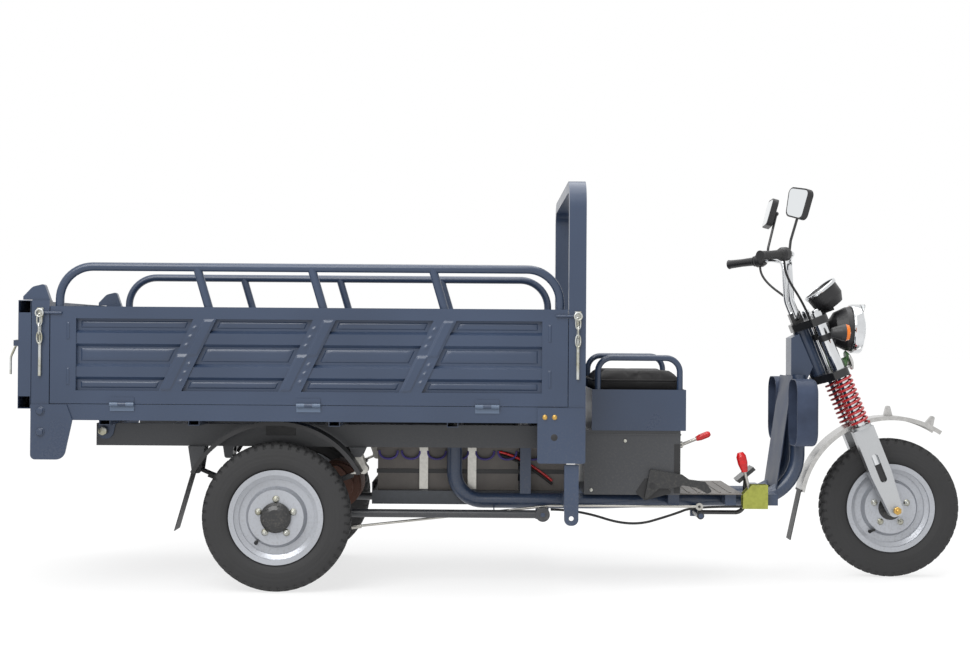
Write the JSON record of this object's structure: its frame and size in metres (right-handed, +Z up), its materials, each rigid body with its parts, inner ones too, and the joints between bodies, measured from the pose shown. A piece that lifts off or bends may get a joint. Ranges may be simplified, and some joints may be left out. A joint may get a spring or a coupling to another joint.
{
  "type": "cargo tricycle",
  "caption": "Electric cargo tricycle with a tipping drop-side bed, hinged tailgate, sprung steering fork, leaf-sprung drive axle, bench seat and hand controls.",
  "frame": {"origin": "on the ground, under the middle of the overall box", "axes": "+X forward to the steered wheel, +Y to the rider's left, +Z up"},
  "size_m": [3.49, 1.13, 1.4702],
  "materials": {
    "body_paint": "satin blue-grey enamel",
    "frame_paint": "semi-gloss dark grey enamel",
    "black_paint": "semi-gloss black enamel",
    "case_paint": "red-brown primer",
    "zinc": "yellow-green passivated zinc",
    "steel": "bare drawn steel",
    "silver_paint": "silver wheel paint",
    "stainless": "rolled stainless sheet",
    "chrome": "bright plating",
    "cast_alloy": "cast aluminium, lightly blasted",
    "red_paint": "gloss red enamel",
    "red_plastic": "gloss red moulding",
    "black_plastic": "fine-grained black moulding",
    "navy_plastic": "gloss deep navy moulding",
    "battery_plastic": "taupe battery case",
    "tyre_rubber": "matt tread rubber",
    "rubber": "matt rubber",
    "seat_vinyl": "black coated cloth",
    "clear_glass": "clear moulded lens",
    "orange_lens": "translucent amber lens",
    "red_lens": "translucent red lens",
    "mirror_shell": "black mirror shell"
  },
  "bodies": {
    "chassis": {"chassis_ladder": "frame_paint", "main_frame": "frame_paint", "battery_tray": "frame_paint", "batteries": "battery_plastic", "seat_box": "frame_paint", "seat_pan": "body_paint", "seat_cushion": "seat_vinyl", "floor_board": "battery_plastic", "leg_shield": "navy_plastic", "rear_fenders": "black_plastic", "lever_brackets": "zinc", "frame_cables": "rubber"},
    "axle": {"rear_axle": "black_paint", "drive_motor": "case_paint", "leaf_springs": "black_paint"},
    "thrust": {"thrust_tubes": "frame_paint"},
    "rear_wheel_left": {"rear_rim_left": "silver_paint", "rear_tyre_left": "tyre_rubber", "rear_hub_left": "black_paint"},
    "rear_wheel_right": {"rear_rim_right": "silver_paint", "rear_tyre_right": "tyre_rubber", "rear_hub_right": "black_paint"},
    "steering": {"steering_yoke": "black_paint", "fork_tubes": "chrome", "handlebar": "chrome", "bar_controls": "black_plastic", "mirror_stems": "black_paint", "headlight_shell": "black_plastic", "headlight_glass": "clear_glass", "turn_signals": "orange_lens", "instrument": "black_plastic", "horn": "chrome", "bar_cables": "rubber"},
    "fork_slider": {"fork_legs": "cast_alloy", "front_axle": "steel", "front_fender": "stainless", "fork_springs": "red_paint"},
    "front_wheel": {"front_rim": "silver_paint", "front_tyre": "tyre_rubber", "front_hub": "black_paint"},
    "throttle": {"throttle_grip": "rubber"},
    "mirror_left": {"mirror_head_left": "mirror_shell"},
    "mirror_right": {"mirror_head_right": "mirror_shell"},
    "bed": {"bed_floor": "body_paint", "bed_posts": "body_paint", "front_hoop": "body_paint", "side_hinge_leaves": "body_paint", "side_locks": "zinc", "tail_lamps": "red_lens"},
    "side_left": {"side_panel_left": "body_paint"},
    "side_right": {"side_panel_right": "body_paint"},
    "tailgate": {"tailgate": "body_paint"},
    "latch_left": {"tailgate_latch_left": "zinc"},
    "latch_right": {"tailgate_latch_right": "zinc"},
    "hand_brake": {"hand_brake_lever": "steel"},
    "gear_lever": {"gear_lever": "red_plastic"},
    "dump_lever": {"dump_lever": "red_plastic"},
    "brake_pedal": {"brake_pedal": "black_paint"},
    "brake_rod": {"brake_rod": "steel"}
  },
  "joints": [
    {"name": "rear_suspension", "type": "slide", "parent": "chassis", "child": "axle", "axis": [0, 0, 1], "range_m": [-0.025, 0.05], "stiffness_N_per_m": 90000, "springref_m": -0.02, "deforming": ["leaf_springs"]},
    {"name": "thrust_swing", "type": "hinge", "parent": "chassis", "child": "thrust", "pos_m": [0.14, 0, 0.262], "axis": [0, 1, 0], "range_deg": [-1.8, 3.5]},
    {"name": "rear_wheel_left_spin", "type": "hinge", "parent": "axle", "child": "rear_wheel_left", "pos_m": [-0.81, 0.45, 0.265], "axis": [0, 1, 0], "continuous": true},
    {"name": "rear_wheel_right_spin", "type": "hinge", "parent": "axle", "child": "rear_wheel_right", "pos_m": [-0.81, -0.45, 0.265], "axis": [0, 1, 0], "continuous": true},
    {"name": "steering_turn", "type": "hinge", "parent": "chassis", "child": "steering", "pos_m": [1.17527, 0, 0.85372], "axis": [-0.3746, 0, 0.9272], "range_deg": [-42, 42]},
    {"name": "fork_slide", "type": "slide", "parent": "steering", "child": "fork_slider", "axis": [-0.3746, 0, 0.9272], "range_m": [-0.015, 0.055], "stiffness_N_per_m": 40000, "springref_m": -0.02, "deforming": ["fork_springs"]},
    {"name": "front_wheel_spin", "type": "hinge", "parent": "fork_slider", "child": "front_wheel", "pos_m": [1.48, 0, 0.265], "axis": [0, 1, 0], "continuous": true},
    {"name": "throttle_turn", "type": "hinge", "parent": "steering", "child": "throttle", "pos_m": [1.01134, -0.26538, 1.21996], "axis": [-0.7172, -0.6925, -0.0779], "range_deg": [0, 70], "stiffness_Nm_per_rad": 0.5, "springref_deg": -20.05},
    {"name": "mirror_left_turn", "type": "hinge", "parent": "steering", "child": "mirror_left", "pos_m": [1.09114, 0.24694, 1.40998], "axis": [0.2518, 0.1399, 0.9576], "range_deg": [-25, 25]},
    {"name": "mirror_right_turn", "type": "hinge", "parent": "steering", "child": "mirror_right", "pos_m": [1.09114, -0.24694, 1.40998], "axis": [0.2518, -0.1399, 0.9576], "range_deg": [-25, 25]},
    {"name": "bed_tip", "type": "hinge", "parent": "chassis", "child": "bed", "pos_m": [-1.447, 0, 0.562], "axis": [0, -1, 0], "range_deg": [0, 40]},
    {"name": "side_left_drop", "type": "hinge", "parent": "bed", "child": "side_left", "pos_m": [-0.69, 0.558, 0.665], "axis": [-1, 0, 0], "range_deg": [0, 175]},
    {"name": "side_right_drop", "type": "hinge", "parent": "bed", "child": "side_right", "pos_m": [-0.69, -0.558, 0.665], "axis": [1, 0, 0], "range_deg": [0, 175]},
    {"name": "tailgate_drop", "type": "hinge", "parent": "bed", "child": "tailgate", "pos_m": [-1.6845, 0, 0.637], "axis": [0, -1, 0], "range_deg": [0, 170]},
    {"name": "latch_left_swing", "type": "hinge", "parent": "tailgate", "child": "latch_left", "pos_m": [-1.7195, 0.52, 0.876], "axis": [0, 1, 0], "range_deg": [0, 60]},
    {"name": "latch_right_swing", "type": "hinge", "parent": "tailgate", "child": "latch_right", "pos_m": [-1.7195, -0.52, 0.876], "axis": [0, 1, 0], "range_deg": [0, 60]},
    {"name": "hand_brake_pull", "type": "hinge", "parent": "chassis", "child": "hand_brake", "pos_m": [0.541, -0.2913, 0.367], "axis": [0, -1, 0], "range_deg": [0, 40]},
    {"name": "gear_shift", "type": "hinge", "parent": "chassis", "child": "gear_lever", "pos_m": [0.914, -0.237, 0.31364], "axis": [0, 1, 0], "range_deg": [-14, 14]},
    {"name": "dump_pull", "type": "hinge", "parent": "chassis", "child": "dump_lever", "pos_m": [0.657, -0.2, 0.512], "axis": [0, -1, 0], "range_deg": [0, 35]},
    {"name": "pedal_press", "type": "hinge", "parent": "chassis", "child": "brake_pedal", "pos_m": [0.72, -0.19, 0.258], "axis": [0, 1, 0], "range_deg": [0, 14], "stiffness_Nm_per_rad": 40, "springref_deg": -11.46},
    {"name": "brake_rod_pull", "type": "slide", "parent": "chassis", "child": "brake_rod", "axis": [1, 0, 0], "range_m": [0, 0.0085]}
  ],
  "couplings": [
    {"joint": "thrust_swing", "follows": "rear_suspension", "rad_per_m": 1.171},
    {"joint": "brake_rod_pull", "follows": "pedal_press", "m_per_rad": 0.033}
  ]
}
